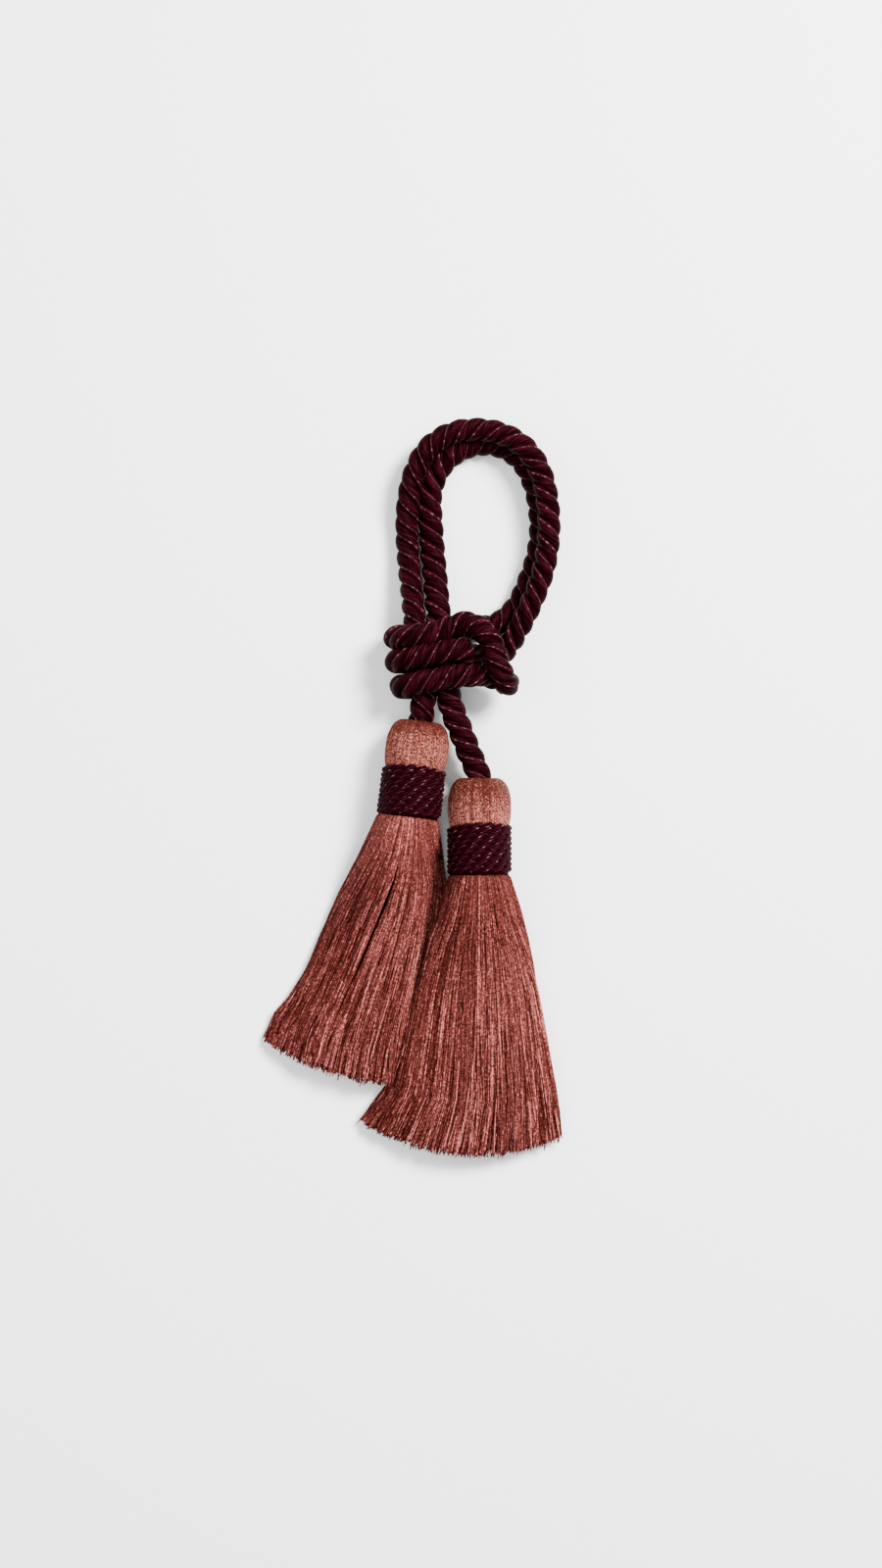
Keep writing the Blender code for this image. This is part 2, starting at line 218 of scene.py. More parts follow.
def thread_tree():
    """Geometry nodes that give each drawn line a round body of its own thickness."""
    tree = bpy.data.node_groups.new("body_along_threads", "GeometryNodeTree")
    tree.interface.new_socket("Lines", in_out="INPUT", socket_type="NodeSocketGeometry")
    tree.interface.new_socket("Sides", in_out="INPUT", socket_type="NodeSocketInt")
    tree.interface.new_socket("Radius", in_out="INPUT", socket_type="NodeSocketFloat")
    tree.interface.new_socket("Finish", in_out="INPUT", socket_type="NodeSocketMaterial")
    tree.interface.new_socket("Threads", in_out="OUTPUT", socket_type="NodeSocketGeometry")
    given = tree.nodes.new("NodeGroupInput")
    made = tree.nodes.new("NodeGroupOutput")
    curve = tree.nodes.new("GeometryNodeMeshToCurve")
    circle = tree.nodes.new("GeometryNodeCurvePrimitiveCircle")
    circle.inputs["Radius"].default_value = 1.0
    where = tree.nodes.new("GeometryNodeInputPosition")
    around = tree.nodes.new("GeometryNodeStoreNamedAttribute")
    around.data_type = "FLOAT_VECTOR"
    around.domain = "POINT"
    around.inputs["Name"].default_value = "around"
    thick = tree.nodes.new("GeometryNodeInputNamedAttribute")
    thick.data_type = "FLOAT"
    thick.inputs["Name"].default_value = "thick"
    scale = tree.nodes.new("ShaderNodeMath")
    scale.operation = "MULTIPLY"
    body = tree.nodes.new("GeometryNodeCurveToMesh")
    body.inputs["Fill Caps"].default_value = True
    smooth = tree.nodes.new("GeometryNodeSetShadeSmooth")
    real = tree.nodes.new("GeometryNodeRealizeInstances")
    finish = tree.nodes.new("GeometryNodeSetMaterial")
    for source, target in (
            (given.outputs["Lines"], curve.inputs["Mesh"]),
            (given.outputs["Sides"], circle.inputs["Resolution"]),
            (circle.outputs["Curve"], around.inputs["Geometry"]),
            (where.outputs["Position"], around.inputs["Value"]),
            (thick.outputs["Attribute"], scale.inputs[0]),
            (given.outputs["Radius"], scale.inputs[1]),
            (curve.outputs["Curve"], body.inputs["Curve"]),
            (around.outputs["Geometry"], body.inputs["Profile Curve"]),
            (scale.outputs[0], body.inputs["Scale"]),
            (body.outputs["Mesh"], smooth.inputs["Geometry"]),
            (smooth.outputs["Geometry"], real.inputs["Geometry"]),
            (real.outputs["Geometry"], finish.inputs["Geometry"]),
            (given.outputs["Finish"], finish.inputs["Material"]),
            (finish.outputs["Geometry"], made.inputs["Threads"])):
        tree.links.new(source, target)
    return tree


THREAD_TREE = thread_tree()


def lay_threads(name, lines, radius, sides, finish, thick=None, **marks):
    """One piece of many threads. lines has a row of points for each thread, and thick and each mark
    have a number for each point."""
    count, points = lines.shape[:2]
    index = np.arange(count * points).reshape(count, points)
    edges = np.stack([index[:, :-1].ravel(), index[:, 1:].ravel()], axis=1)
    drawn = bpy.data.meshes.new(name)
    drawn.vertices.add(count * points)
    drawn.vertices.foreach_set("co", lines.reshape(-1).astype(np.float32))
    drawn.edges.add(len(edges))
    drawn.edges.foreach_set("vertices", edges.reshape(-1).astype(np.int32))
    marks["thick"] = np.ones((count, points)) if thick is None else thick
    for mark, numbers in marks.items():
        layer = drawn.attributes.new(mark, "FLOAT", "POINT")
        numbers = np.broadcast_to(numbers, (count, points)).reshape(-1)
        layer.data.foreach_set("value", numbers.astype(np.float32))
    drawn.update()
    piece = bpy.data.objects.new(name, drawn)
    bpy.context.scene.collection.objects.link(piece)
    modifier = piece.modifiers.new("threads", "NODES")
    modifier.node_group = THREAD_TREE
    sockets = {item.name: item.identifier
               for item in THREAD_TREE.interface.items_tree if item.in_out == "INPUT"}
    modifier[sockets["Sides"]] = sides
    modifier[sockets["Radius"]] = radius
    modifier[sockets["Finish"]] = finish
    graph = bpy.context.evaluated_depsgraph_get()
    solid = bpy.data.meshes.new_from_object(
        piece.evaluated_get(graph), preserve_all_data_layers=True, depsgraph=graph)
    piece.modifiers.remove(modifier)
    piece.data = solid
    solid.name = name
    bpy.data.meshes.remove(drawn)
    return piece


class Wire:
    """A shader socket that is added, multiplied and subtracted as a number is."""

    def __init__(self, tree, socket=None):
        self.tree = tree
        self.socket = socket

    def node(self, kind, settings, values, out=0):
        made = self.tree.nodes.new(kind)
        stops = settings.pop("stops", None)
        for key, value in settings.items():
            setattr(made, key, value)
        if stops:
            ramp = made.color_ramp
            while len(ramp.elements) < len(stops):
                ramp.elements.new(0.5)
            for element, (place, colour) in zip(ramp.elements, stops):
                element.position = place
                element.color = (*colour, 1.0)
        for key, value in values.items():
            if isinstance(value, Wire):
                self.tree.links.new(value.socket, made.inputs[key])
            else:
                made.inputs[key].default_value = value
        return Wire(self.tree, made.outputs[out])

    def maths(self, operation, *values):
        return self.node("ShaderNodeMath", {"operation": operation}, dict(enumerate(values)))

    def attribute(self, name, out="Fac"):
        return self.node("ShaderNodeAttribute", {"attribute_name": name}, {}, out)

    def beside(self, out):
        """Another output of the node that this one comes from."""
        return Wire(self.tree, self.socket.node.outputs[out])

    def __add__(self, other):
        return self.maths("ADD", self, other)

    __radd__ = __add__

    def __mul__(self, other):
        return self.maths("MULTIPLY", self, other)

    __rmul__ = __mul__

    def __sub__(self, other):
        return self.maths("SUBTRACT", self, other)

    def __rsub__(self, other):
        return self.maths("SUBTRACT", other, self)


def new_finish(name, roughness, specular, tint=(1, 1, 1)):
    finish = bpy.data.materials.new(name)
    finish.use_nodes = True
    shader = finish.node_tree.nodes["Principled BSDF"]
    shader.inputs["Roughness"].default_value = roughness
    shader.inputs["Specular IOR Level"].default_value = specular
    shader.inputs["Specular Tint"].default_value = (*tint, 1)
    return finish, shader, Wire(finish.node_tree)


def filaments(wire, turn, across, along_scale, detail):
    """Fine noise drawn out along a strand, turned about it once in each turn metres."""
    along = wire.attribute("along")
    x = wire.node("ShaderNodeSeparateXYZ", {}, {"Vector": wire.attribute("around", "Vector")})
    y = x.beside(1)
    angle = along * (2.0 * math.pi / turn)
    cosine = wire.maths("COSINE", angle)
    sine = wire.maths("SINE", angle)
    spot = wire.node("ShaderNodeCombineXYZ", {}, {
        0: (x * cosine - y * sine) * across,
        1: (x * sine + y * cosine) * across,
        2: along * along_scale})
    return wire.node("ShaderNodeTexNoise", {}, {"Vector": spot, "Scale": 1.0, "Detail": detail}, "Fac")


rope_finish, shader, wire = new_finish("rope_rayon", 0.42, 0.012, (1.0, 0.4, 0.55))
# grain_and_sheen is fine noise along the filaments: partly the rayon's real filaments, partly painted satin
# sheen streaking along them.
grain_and_sheen = filaments(wire, 9.0 * MM, 5.0, 260.0, 3.0)
colour = wire.node("ShaderNodeValToRGB", {"stops": [
    (0.34, (0.0008, 0.00005, 0.0002)),
    (0.5, (0.0054, 0.00034, 0.00085)),
    (0.68, (0.027, 0.0022, 0.0044))]}, {0: grain_and_sheen})
bump = wire.node("ShaderNodeBump", {}, {"Height": grain_and_sheen, "Strength": 0.6, "Distance": 0.00025}, "Normal")
wire.tree.links.new(colour.socket, shader.inputs["Base Color"])
wire.tree.links.new(bump.socket, shader.inputs["Normal"])

line, marks, size = rope_centre(ROPE_STEP)
strands = np.stack([
    helix_about(line, marks, size, STRAND_OFFSET, ROPE_LAY, math.radians(60 + 120 * k)) for k in range(3)])
rope = lay_threads("rope", strands, STRAND_RADIUS, 14, rope_finish, thick=size,
                   along=np.stack([marks + 0.31 * k for k in range(3)]))

accent_finish, shader, wire = new_finish("rope_accent_thread", 0.6, 0.01, (1.0, 0.6, 0.65))
# The accent thread's colour follows a noise along it: its lower values are the thread's own pink, its bright
# peaks are painted glints of the metallic thread.
tone_and_painted_glint = wire.node("ShaderNodeTexNoise", {"noise_dimensions": "1D"}, {
    "W": wire.attribute("along"), "Scale": 1500.0, "Detail": 2.0}, "Fac")
colour = wire.node("ShaderNodeValToRGB", {"stops": [
    (0.34, (0.017, 0.0024, 0.0038)),
    (0.56, (0.045, 0.0125, 0.0160)),
    (0.74, (0.13, 0.058, 0.064))]}, {0: tone_and_painted_glint})
wire.tree.links.new(colour.socket, shader.inputs["Base Color"])

accents = np.stack([
    helix_about(line, marks, size, ACCENT_OFFSET, ROPE_LAY, math.radians(29 + 120 * k)) for k in range(3)])
accent = lay_threads("rope_accent_threads", accents, ACCENT_RADIUS, 5, accent_finish,
                     along=np.stack([marks + 0.17 * k for k in range(3)]))

for piece in (rope, accent):
    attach(piece, "root")
    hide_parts("cord")
[tuple(p) for p in line[:-1:2]] + [tuple(line[-1])]


# Tassel heads: the rose threads are folded over the rope's end, so they run up the sides of a domed
# head and are drawn in round the rope at the top. A wooden mould under them gives the round shape.

AXIS_HEIGHT = 8.35 * MM
HEAD_RADIUS = 7.9 * MM
CROWN_TOP = 25.0 * MM
HEAD_THREADS = 156
HEAD_THREAD_RADIUS = 0.20 * MM
HEAD_POINTS = 30
MOULD_INSET = 0.22 * MM
TURNED_SIDES = 48

tassel_places = {
    "left": (np.array((-0.65, 29.8)) * MM, np.array((0.127, 0.992)) / math.hypot(0.127, 0.992)),
    "right": (np.array((17.55, 15.1)) * MM, np.array((0.0, 1.0))),
}
head_profile = np.array([
    (7.25, 12.4), (7.45, 13.3), (7.70, 14.2), (7.88, 15.6), (7.90, 17.6), (7.86, 19.7), (7.60, 21.0),
    (7.22, 22.4), (6.60, 23.6), (5.75, 24.5), (4.90, 24.95), (4.10, 25.1), (3.50, 24.9), (3.20, 24.4),
]) * MM
# heights on each head where the painted shade of the crown begins
crowns = {"left": 19.0 * MM, "right": 13.5 * MM}

head_finish, shader, wire = new_finish("rose_head_thread", 0.42, 0.05, (1.0, 0.7, 0.65))
along = wire.attribute("along")
around = wire.node("ShaderNodeSeparateXYZ", {}, {"Vector": wire.attribute("around", "Vector")})
# ply, mottle and speckle vary the colour along the threads: ply paints the shading of each thread's twist,
# and the brightest spots of mottle and speckle are painted sparkle of the twisted threads.
ply = wire.maths(
    "SINE", along * (2.0 * math.pi / (0.9 * MM)) + around * 2.2 + wire.attribute("tone") * 40.0)
spot = wire.node("ShaderNodeCombineXYZ", {}, {0: wire.attribute("tone") * 60.0, 1: along * 800.0, 2: 0.0})
mottle = wire.node("ShaderNodeTexNoise", {}, {"Vector": spot, "Scale": 1.0, "Detail": 2.0}, "Fac")
speckle = wire.node("ShaderNodeTexNoise", {}, {
    "Vector": wire.node("ShaderNodeTexCoord", {}, {}, "Object"), "Scale": 2400.0, "Detail": 0.0}, "Fac")
# crown darkens the domed top: painted shade where the head turns away from the light.
level = (ply * 0.08 + mottle * 0.6 + speckle * 0.70 + wire.attribute("tone") * 0.2
         - wire.attribute("crown") * 0.25 - 0.214)
colour = wire.node("ShaderNodeValToRGB", {"stops": [
    (0.28, (0.034, 0.0055, 0.0036)),
    (0.5, (0.110, 0.027, 0.0185)),
    (0.74, (0.34, 0.115, 0.090))]}, {0: level})
bump = wire.node("ShaderNodeBump", {}, {"Height": ply, "Strength": 0.4, "Distance": 0.00012}, "Normal")
wire.tree.links.new(colour.socket, shader.inputs["Base Color"])
wire.tree.links.new(bump.socket, shader.inputs["Normal"])

mould_finish, shader, wire = new_finish("head_mould_wrap", 0.6, 0.1)
mould_noise = wire.node("ShaderNodeTexNoise", {}, {
    "Vector": wire.node("ShaderNodeTexCoord", {}, {}, "Object"), "Scale": 2500.0, "Detail": 2.0}, "Fac")
colour = wire.node("ShaderNodeValToRGB", {"stops": [
    (0.3, (0.025, 0.0035, 0.002)), (0.7, (0.06, 0.011, 0.006))]}, {0: mould_noise})
wire.tree.links.new(colour.socket, shader.inputs["Base Color"])


def smoothstep(t):
    t = np.clip(t, 0.0, 1.0)
    return t * t * (3.0 - 2.0 * t)


def about_axis(which, radius, height, angle):
    """Row-frame points at a radius, height and angle about a tassel's axis."""
    neck, up = tassel_places[which]
    side = np.array((up[1], -up[0]))
    flat = neck + up * np.asarray(height)[..., None] + side * (radius * np.sin(angle))[..., None]
    return np.concatenate([flat, (AXIS_HEIGHT + radius * np.cos(angle))[..., None]], axis=-1)


def turned(name, which, profile, finish):
    """A closed body turned about a tassel's axis. profile goes round its section once."""
    count = len(profile)
    angles = 2.0 * math.pi * np.arange(TURNED_SIDES) / TURNED_SIDES
    shape = (TURNED_SIDES, count)
    points = about_axis(which, np.broadcast_to(profile[:, 0], shape), np.broadcast_to(profile[:, 1], shape),
                        np.broadcast_to(angles[:, None], shape))
    faces = []
    for k in range(TURNED_SIDES):
        for c in range(count):
            d = (c + 1) % count
            m = (k + 1) % TURNED_SIDES
            faces.append((k * count + c, m * count + c, m * count + d, k * count + d))
    mesh = bpy.data.meshes.new(name)
    mesh.from_pydata(points.reshape(-1, 3).tolist(), [], faces)
    mesh.shade_smooth()
    mesh.materials.append(finish)
    piece = bpy.data.objects.new(name, mesh)
    bpy.context.scene.collection.objects.link(piece)
    return piece


for which in ("left", "right"):
    rng = np.random.default_rng(11 if which == "left" else 12)
    run = np.concatenate([[0.0], np.cumsum(np.linalg.norm(np.diff(head_profile, axis=0), axis=1))])
    marks = np.linspace(0.0, run[-1], HEAD_POINTS)
    radius = smoothed(np.interp(marks, run, head_profile[:, 0]), 2)
    height = smoothed(np.interp(marks, run, head_profile[:, 1]), 2)
    shape = (HEAD_THREADS, HEAD_POINTS)
    uneven = 0.25 * (rng.random(HEAD_THREADS) - 0.5)
    start = 2.0 * math.pi * (np.arange(HEAD_THREADS) + uneven) / HEAD_THREADS
    waves = rng.uniform(3, 7, HEAD_THREADS)
    wander = 0.004 * np.sin(np.outer(waves, marks / run[-1]) + rng.uniform(0, 6, (HEAD_THREADS, 1)))
    lift = 1.0 + 0.005 * (rng.random((HEAD_THREADS, 1)) - 0.5)
    lines = about_axis(which, radius[None] * lift, np.broadcast_to(height, shape), start[:, None] + wander)
    # crown marks the threads' way over the crown, for the painted shade there.
    head = lay_threads("head_threads_" + which, lines, HEAD_THREAD_RADIUS, 5, head_finish,
                       thick=radius / HEAD_RADIUS,
                       along=marks + rng.uniform(0, 0.1, (HEAD_THREADS, 1)),
                       tone=rng.random((HEAD_THREADS, 1)),
                       crown=smoothstep((height - crowns[which]) / (CROWN_TOP - crowns[which])))
    inner = head_profile - MOULD_INSET
    closed = np.vstack([np.array([(0.6 * MM, 12.0 * MM)]), inner, np.array([(0.6 * MM, 24.0 * MM)])])
    mould = turned("head_mould_" + which, which, closed[::-1], mould_finish)
    for piece in (head, mould):
        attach(piece, "root")
        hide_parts("tassel_" + which)


# Neck bindings: a thin two-ply burgundy cord wound round each neck in nine close turns, with a
# sparkling thread in it. Its ends are tucked under the turns.

TURNS = 9
BINDING_LENGTH = 13.2 * MM
BINDING_CENTRE = 7.54 * MM
WINDING_STEP = 0.27 * MM
PLY_RADIUS = 0.40 * MM
PLY_LAY = 6.1 * MM
PLY_OFFSET = 0.37 * MM
SPARKLE_OFFSET = 0.66 * MM

binding_finish, shader, wire = new_finish("binding_rayon", 0.42, 0.012, (1.0, 0.4, 0.55))
# grain_and_sheen is fine filament noise, partly real filaments and partly painted satin sheen. The metallic
# thread's plies are lighter than the cord, and painted_glints adds painted glints along them.
grain_and_sheen = filaments(wire, 4.0 * MM, 5.0, 700.0, 1.0)
painted_glints = wire.node("ShaderNodeTexNoise", {"noise_dimensions": "1D"}, {
    "W": wire.attribute("along"), "Scale": 1000.0, "Detail": 0.0}, "Fac")
level = grain_and_sheen * 0.5 + wire.attribute("tone") * (0.23 + wire.maths("MAXIMUM", painted_glints - 0.52, 0.0) * 1.0)
colour = wire.node("ShaderNodeValToRGB", {"stops": [
    (0.14, (0.0013, 0.0001, 0.0002)),
    (0.25, (0.0078, 0.0004, 0.0013)),
    (0.42, (0.0222, 0.0013, 0.0042)),
    (0.60, (0.034, 0.0062, 0.0104)),
    (0.85, (0.15, 0.066, 0.08))]}, {0: level})
bump = wire.node("ShaderNodeBump", {}, {"Height": grain_and_sheen, "Strength": 0.4, "Distance": 0.00012}, "Normal")
wire.tree.links.new(colour.socket, shader.inputs["Base Color"])
wire.tree.links.new(bump.socket, shader.inputs["Normal"])

for which in ("left", "right"):
    turn = np.linspace(0.0, TURNS, TURNS * 170 + 1)
    pitch = BINDING_LENGTH / TURNS
    around = 2.0 * math.pi * turn + 2.6
    bow = (0.5 + 0.8 * turn / TURNS) * MM * np.clip(np.cos(around), 0.0, 1.0) ** 1.5
    height = pitch * 0.5 + (BINDING_LENGTH - pitch) * turn / TURNS + bow
    tuck = np.clip(np.minimum(turn, TURNS - turn) / 0.06, 0.0, 1.0)
    radius = BINDING_CENTRE - 0.5 * MM * (1.0 - tuck)
    centre = about_axis(which, radius, height, around)
    centre, marks = even_line(centre, WINDING_STEP)
    ones = np.ones(len(marks))
    plies = np.stack([
        helix_about(centre, marks, ones, offset, PLY_LAY, start)
        for offset, start in ((PLY_OFFSET, 0.0), (PLY_OFFSET, math.pi),
                              (SPARKLE_OFFSET, 0.4 * math.pi), (SPARKLE_OFFSET, 1.4 * math.pi))])
    sparkle = np.array((0.0, 0.0, 1.0, 1.0))[:, None]
    wound = lay_threads("binding_cord_" + which, plies, PLY_RADIUS, 6, binding_finish,
                        thick=1.0 - 0.66 * sparkle, tone=sparkle,
                        along=np.stack([marks, marks + 0.5, marks + 1.0, marks + 1.5]))
    sleeve = turned("binding_wrap_" + which, which, np.array([
        (6.9, 0.15), (7.45, 0.15), (7.45, 13.05), (6.9, 13.05)]) * MM, binding_finish)
    for piece in (wound, sleeve):
        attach(piece, "root")
        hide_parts("binding_" + which)


# Skirts: some thousands of fine rose rayon threads that come out under each binding and fan out on
# the table. The right skirt lies over the edge of the left one.

COLLAR_RADIUS = 7.60 * MM
COLLAR_DROP = 1.1 * MM
THREAD_LENGTH = 68 * MM
SKIN_RADIUS = 0.185 * MM
SKIN_POINTS = 12
FILLING_RADIUS = 0.30 * MM
FILLING_POINTS = 10
FILLING_THREADS = 1500
LOOSE_THREADS = 300
LOWEST_THREAD = 0.34 * MM

# rows of locks over the bundle: how high in it each row lies, and how many locks it has
lock_rows = ((0.98, 58), (0.90, 58), (0.80, 56), (0.68, 50), (0.50, 44))

# Per skirt, root_shade, painted_shading_along and painted_side_light are painted shade and light in the
# thread tone: darker just below the binding, lighter or darker down the length, and lighter on the side
# turned to the window.
skirts = {
    "left": {
        "left_edge": [(-12.25, 22.6), (-16.75, 13.6), (-21.0, 3.9), (-25.0, -5.9), (-29.6, -14.9),
                      (-34.1, -20.3), (-37.0, -26.8)],
        "right_edge": [(7.6, 23.4), (8.75, 16.6), (9.1, 11.0), (8.25, -1.4), (6.75, -13.9), (5.25, -26.4),
                       (4.25, -37.4)],
        "bulge": 3.5, "thick": 10.0, "thick_hem": 7.0, "left_rim": 0.33, "right_rim": 0.33,
        "left_side_lift": 0.0, "right_side_under": True, "parting": (-0.06, -0.34, 0.055), "root_shade": 0.0,
        "painted_shading_along": (0.0, -0.01, -0.03, -0.04, -0.02), "painted_side_light": (-0.07, 0.12, 0.05), "seed": 21},
    "right": {
        "left_edge": [(8.1, 9.1), (5.0, 0.1), (2.0, -12.6), (-1.75, -27.6), (-4.75, -38.1), (-12.25, -47.9)],
        "right_edge": [(28.25, 6.1), (30.75, -3.6), (32.75, -16.4), (35.0, -29.9), (37.25, -44.9),
                       (37.8, -51.9)],
        "bulge": 5.5, "thick": 10.0, "thick_hem": 7.5, "left_rim": 0.14, "right_rim": 0.42,
        "left_side_lift": 3.6, "right_side_under": False, "parting": None, "root_shade": 0.24,
        "painted_shading_along": (0.0, 0.02, 0.03, -0.03, -0.02), "painted_side_light": (-0.03, 0.05, 0.06), "seed": 22},
}


def along_edge(points, t):
    """Places at the shares t of a broken line's length; past its end it goes straight on."""
    run = np.concatenate([[0.0], np.cumsum(np.linalg.norm(np.diff(points, axis=0), axis=1))])
    ahead = (points[-1] - points[-2]) / np.linalg.norm(points[-1] - points[-2])
    there = np.stack([np.interp(t * run[-1], run, points[:, k]) for k in range(2)], axis=-1)
    return there + ahead * (np.maximum(t - 1.0, 0.0) * run[-1])[..., None]


def skirt_place(which, a, b, t):
    """Places in a skirt: a across it and b up through it, both -1..1, and t down its length."""
    skirt = skirts[which]
    neck, up = tassel_places[which]
    side = np.array((up[1], -up[0]))
    collar = neck - up * COLLAR_DROP
    left = np.vstack([collar - side * COLLAR_RADIUS, np.array(skirt["left_edge"]) * MM])
    right = np.vstack([collar + side * COLLAR_RADIUS, np.array(skirt["right_edge"]) * MM])
    pressed = skirt["right_side_under"] & (a > 0.0)
    fall = smoothstep(t / np.where(pressed, 0.46 - 0.34 * a, 0.46))
    wide = a * (np.sqrt(1.0 - 0.5 * b * b) * (1.0 - fall) + fall)
    from_left, from_right = along_edge(left, t), along_edge(right, t)
    flat = from_left + (from_right - from_left) * ((wide + 1.0) / 2.0)[..., None]
    flat = flat - up * (skirt["bulge"] * MM * (1.0 - a * a) * t * t)[..., None]
    full = np.where(pressed, (1.0 - 0.4 * a * a) * (1.0 - smoothstep((a - 0.42) / 0.34)), 1.0 - a * a)
    thick = (skirt["thick"] + (skirt["thick_hem"] - skirt["thick"]) * t) * MM
    edge = np.where(a < 0.0, skirt["left_rim"], skirt["right_rim"])
    thick = thick * (edge + (1.0 - edge) * full)
    droop = 1.0 - 0.55 * smoothstep((t - 0.75) / 0.25)
    floor = skirt["left_side_lift"] * MM * smoothstep((-0.25 - a) / 0.27) * droop
    round_z = AXIS_HEIGHT + COLLAR_RADIUS * b * np.sqrt(1.0 - 0.5 * a * a)
    thick = np.maximum(thick - 0.8 * floor, np.minimum(thick, 2.8 * MM))
    height = round_z + (floor + thick * (b + 1.0) / 2.0 - round_z) * fall
    return np.concatenate([flat, height[..., None]], axis=-1)


skirt_finish, shader, wire = new_finish("rose_skirt_thread", 0.5, 0.025, (1.0, 0.65, 0.6))
along = wire.attribute("along")
tone = wire.attribute("tone")
mottle = wire.node("ShaderNodeTexNoise", {}, {
    "Vector": wire.node("ShaderNodeCombineXYZ", {}, {0: tone * 90.0, 1: along * 600.0, 2: 0.0}),
    "Scale": 1.0, "Detail": 2.0, "Roughness": 0.6}, "Fac")
speckle = wire.node("ShaderNodeTexNoise", {}, {
    "Vector": wire.node("ShaderNodeTexCoord", {}, {}, "Object"), "Scale": 2000.0, "Detail": 0.0}, "Fac")
# mottle and speckle are random tone along the threads; their bright spots are painted glints of the twisted
# threads, and their dark spots painted shade where threads dive under others. tone also carries the painted
# shade and light set for each thread below.
level = tone * 0.74 + mottle * 0.42 + speckle * 0.44 - 0.386
colour = wire.node("ShaderNodeValToRGB", {"stops": [
    (0.22, (0.012, 0.0011, 0.0008)),
    (0.42, (0.051, 0.0086, 0.0067)),
    (0.58, (0.124, 0.0285, 0.0236)),
    (0.76, (0.42, 0.120, 0.108))]}, {0: level})
wire.tree.links.new(colour.socket, shader.inputs["Base Color"])


def skirt_threads(which, rng, root, lock, drift, ring, turns, sway, points):
    """The lines of a skirt's threads. Each leaves the binding at its root (across, up), joins the middle
    of its lock on the way down and winds round it at ring metres. A lock drifts to one side as it falls."""
    skirt = skirts[which]
    neck, up = tassel_places[which]
    side = np.array((up[1], -up[0]))
    count = len(root)
    end = 1.0 + rng.normal(0.0, 0.010, count)
    cut_short = rng.random(count) < 0.08
    end = end - np.where(cut_short, rng.uniform(0.0, 0.05, count), 0.0)
    end = end - 0.024 * np.clip(0.8 - root[:, 1], 0.0, 1.0)
    s = np.concatenate([[0.0], np.linspace(0.0, 1.0, points - 1) ** 0.9])[None] * end[:, None]
    drawn = smoothstep(s / 0.35)
    across = root[:, :1] + (lock[:, :1] - root[:, :1]) * drawn
    upward = root[:, 1:] + (lock[:, 1:] - root[:, 1:]) * drawn
    across = across + drift[:, None] * s ** 1.3
    if skirt["parting"]:
        # a long parting runs down this skirt; the locks beside it are pressed to either side of it
        above, below, width = skirt["parting"]
        split = above + (below - above) * smoothstep((s - 0.15) / 0.65)
        beyond = lock[:, :1] > above
        across = np.where(beyond, 1.0 - (1.0 - across) * (1.0 - split) / (1.0 - above),
                          (across + 1.0) * (1.0 + split) / (1.0 + above) - 1.0)
        ajar = smoothstep((s - 0.12) / 0.22) * (1.0 - 0.8 * smoothstep((s - 0.70) / 0.25)) * (1.0 - 0.2 * s)
        ajar = ajar * width * (lock[:, 1:] > 0.3)
        across = across + np.where(beyond, ajar, -ajar) * np.exp(-np.abs(across - split) / 0.12)
        across = np.where(beyond, np.maximum(across, split + ajar), np.minimum(across, split - ajar))
    astray = np.where(rng.random((count, 1)) < 0.25, rng.normal(0.0, 0.07, (count, 1)), 0.0)
    across = across + astray * s ** 2.5
    lines = skirt_place(which, np.clip(across, -1.015, 1.015), np.clip(upward, -1.0, 1.0), s)
    up3 = np.concatenate([up, (0.0,)])
    lines[:, 0] += up3 * 1.8 * MM
    lines[:, 1] += up3 * 0.75 * MM
    middle = np.concatenate([np.tile(neck, (count, 1)), np.full((count, 1), AXIS_HEIGHT)], axis=1)
    inward = middle - lines[:, 0]
    inward -= up3 * (inward @ up3)[:, None]
    lines[:, 0] += inward * 0.07
    lines[:, 1] -= inward * 0.05
    wind = 2.0 * math.pi * turns[:, None] * s + rng.uniform(0, 2 * math.pi, (count, 1))
    wide = ring[:, None] * smoothstep(s * 4) * (1.0 + 1.0 * smoothstep((s - 0.65) / 0.35))
    swing = 0.28 * MM * np.sin(sway[:, :1] * s + sway[:, 1:]) * smoothstep(s * 2)
    lines[..., :2] += (wide * np.sin(wind) + swing)[..., None] * side
    lines[..., 2] += wide * np.cos(wind)
    lines[..., 2] = np.maximum(lines[..., 2], LOWEST_THREAD)
    return lines


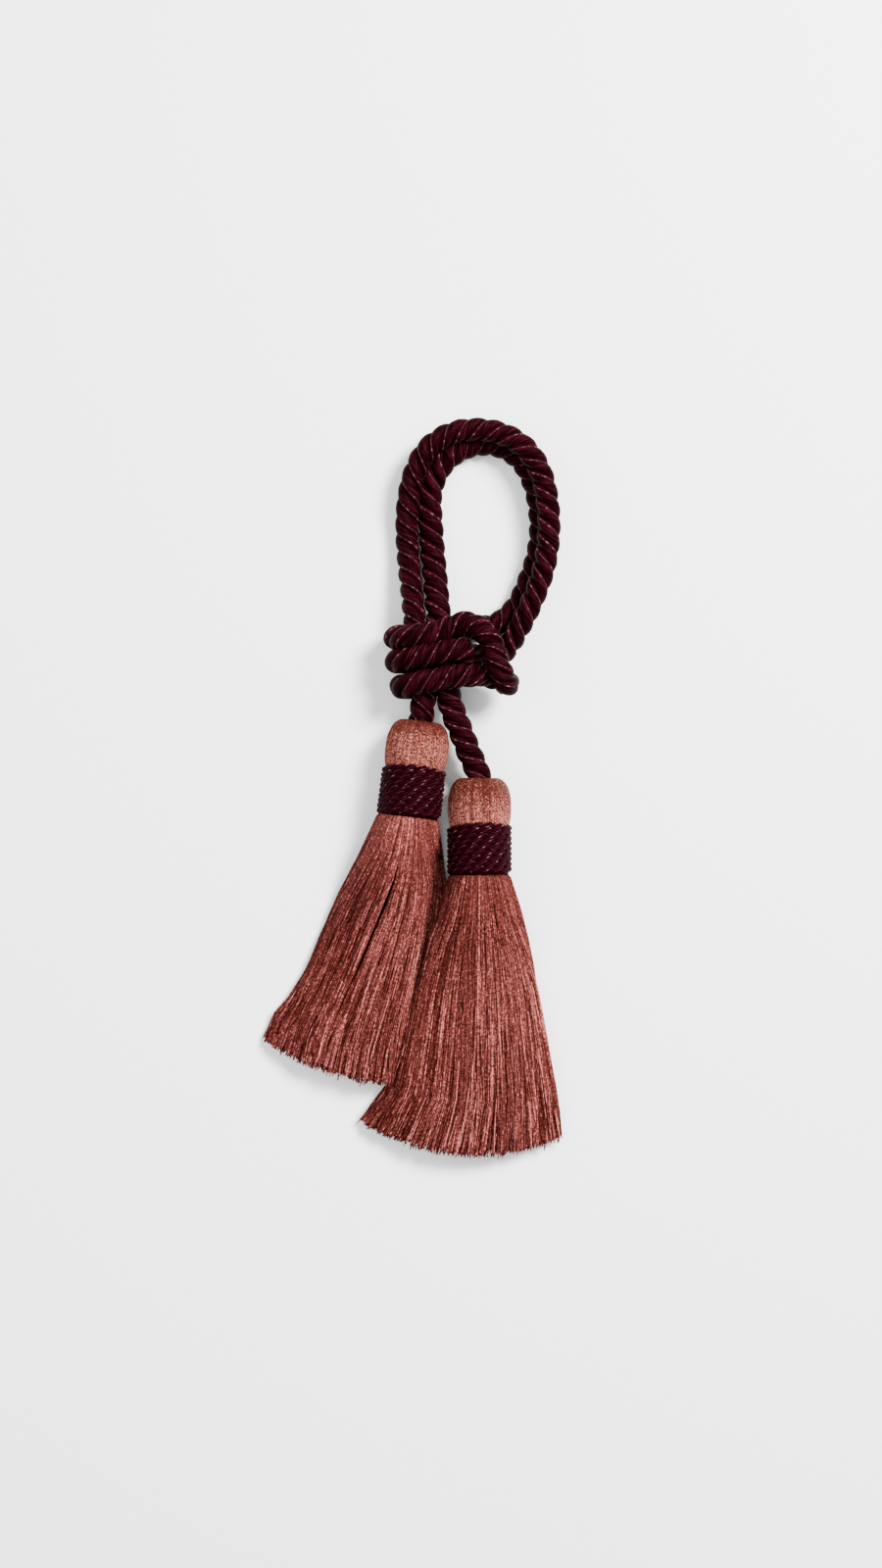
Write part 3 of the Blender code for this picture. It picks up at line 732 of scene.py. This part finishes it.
for which in ("left", "right"):
    rng = np.random.default_rng(skirts[which]["seed"])

    # the skin: twisted locks of threads lie side by side over the bundle and down both its sides
    locks = []
    for height, number in lock_rows:
        beside = (np.arange(number) + rng.uniform(0.16, 0.84, number)) / number * 1.94 - 0.97
        locks.append(np.stack([beside, height + rng.uniform(-0.04, 0.02, number)], axis=1))
    for flank in (-1.0, 1.0):
        locks.append(np.stack([flank * rng.uniform(0.95, 1.0, 22), np.linspace(-0.92, 0.92, 22)], axis=1))
    locks = np.concatenate(locks)
    own = np.repeat(np.arange(len(locks)), np.where(locks[:, 1] > 0.74, 6, 5))
    count = len(own)
    lines = skirt_threads(
        which, rng, np.clip(locks[own] + rng.normal(0.0, 0.03, (count, 2)), -1.0, 1.0), locks[own],
        rng.normal(0.0, 0.022, len(locks))[own], rng.uniform(0.06, 0.30, count) * MM,
        rng.uniform(1.5, 3.5, len(locks))[own],
        np.stack([rng.uniform(2.0, 7.0, len(locks)), rng.uniform(0.0, 6.3, len(locks))], axis=1)[own],
        SKIN_POINTS)
    # Locks in the lower rows get a darker tone: painted shade for their lying under the rows above.
    painted_depth_shade = np.clip((0.94 - locks[own, 1]) / 0.22, 0.0, 1.0) * (np.abs(locks[own, 0]) < 0.9)
    tone = 0.64 - 0.42 * painted_depth_shade
    place = locks[own, 0]
    spread = rng.normal(0.0, 0.06, len(locks))[own] + rng.normal(0.0, 0.11, count)

    # loose single threads that cross over them
    count = LOOSE_THREADS
    loose = np.stack([rng.uniform(-1.0, 1.0, count), 1.0 - 0.12 * rng.random(count)], axis=1)
    lines = np.concatenate([lines, skirt_threads(
        which, rng, loose, loose + rng.normal(0.0, 0.02, (count, 2)), rng.normal(0.0, 0.05, count),
        rng.uniform(0.1, 0.4, count) * MM,
        rng.uniform(0.5, 2.0, count), rng.uniform(1.0, 6.0, (count, 2)), SKIN_POINTS)])
    tone = np.concatenate([tone, np.full(count, 0.6)])[:, None]
    place = np.concatenate([place, loose[:, 0]])[:, None]
    spread = np.concatenate([spread, rng.normal(0.0, 0.12, count)])[:, None]
    down = np.linspace(0.0, 1.0, SKIN_POINTS)
    # Tone: a random spread per lock and thread, plus painted shade and light from painted_shading_along down
    # the skirt, root_shade below the binding and painted_side_light across it.
    tone = np.clip(tone + spread * (0.75 + 0.5 * down), 0.0, 1.0)
    tone = tone + np.interp(down, (0.0, 0.25, 0.5, 0.75, 1.0), skirts[which]["painted_shading_along"])
    tone = tone - skirts[which]["root_shade"] * np.exp(-down / 0.16)
    tone = tone + place * np.interp(down, (0.0, 0.5, 1.0), skirts[which]["painted_side_light"])
    count = len(lines)
    skin = lay_threads("skirt_" + which, lines, SKIN_RADIUS, 3, skirt_finish,
                       thick=rng.uniform(0.8, 1.2, (count, 1)), tone=tone,
                       along=THREAD_LENGTH * down + rng.uniform(0.0, 0.2, (count, 1)))

    # the filling: the rest of the bundle under them
    count = FILLING_THREADS
    deep = np.stack([rng.uniform(-0.97, 0.97, count), rng.uniform(-1.0, 0.45, count)], axis=1)
    lines = skirt_threads(which, rng, deep, deep, np.zeros(count), rng.uniform(0.1, 0.3, count) * MM,
                          rng.uniform(1.0, 3.0, count), rng.uniform(1.0, 6.0, (count, 2)), FILLING_POINTS)
    down = np.linspace(0.0, 1.0, FILLING_POINTS)
    # The filling's threads have a dark tone, painted shade for their depth in the bundle; their cut ends at
    # the hem are given a lighter tone.
    filling = lay_threads("skirt_filling_" + which, lines, FILLING_RADIUS, 3, skirt_finish,
                          tone=rng.normal(0.26, 0.07, (count, 1)) + 0.24 * (down == 1.0),
                          along=THREAD_LENGTH * down + rng.uniform(0.0, 0.2, (count, 1)))
    for piece in (skin, filling):
        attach(piece, "root")
        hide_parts("tassel_" + which)
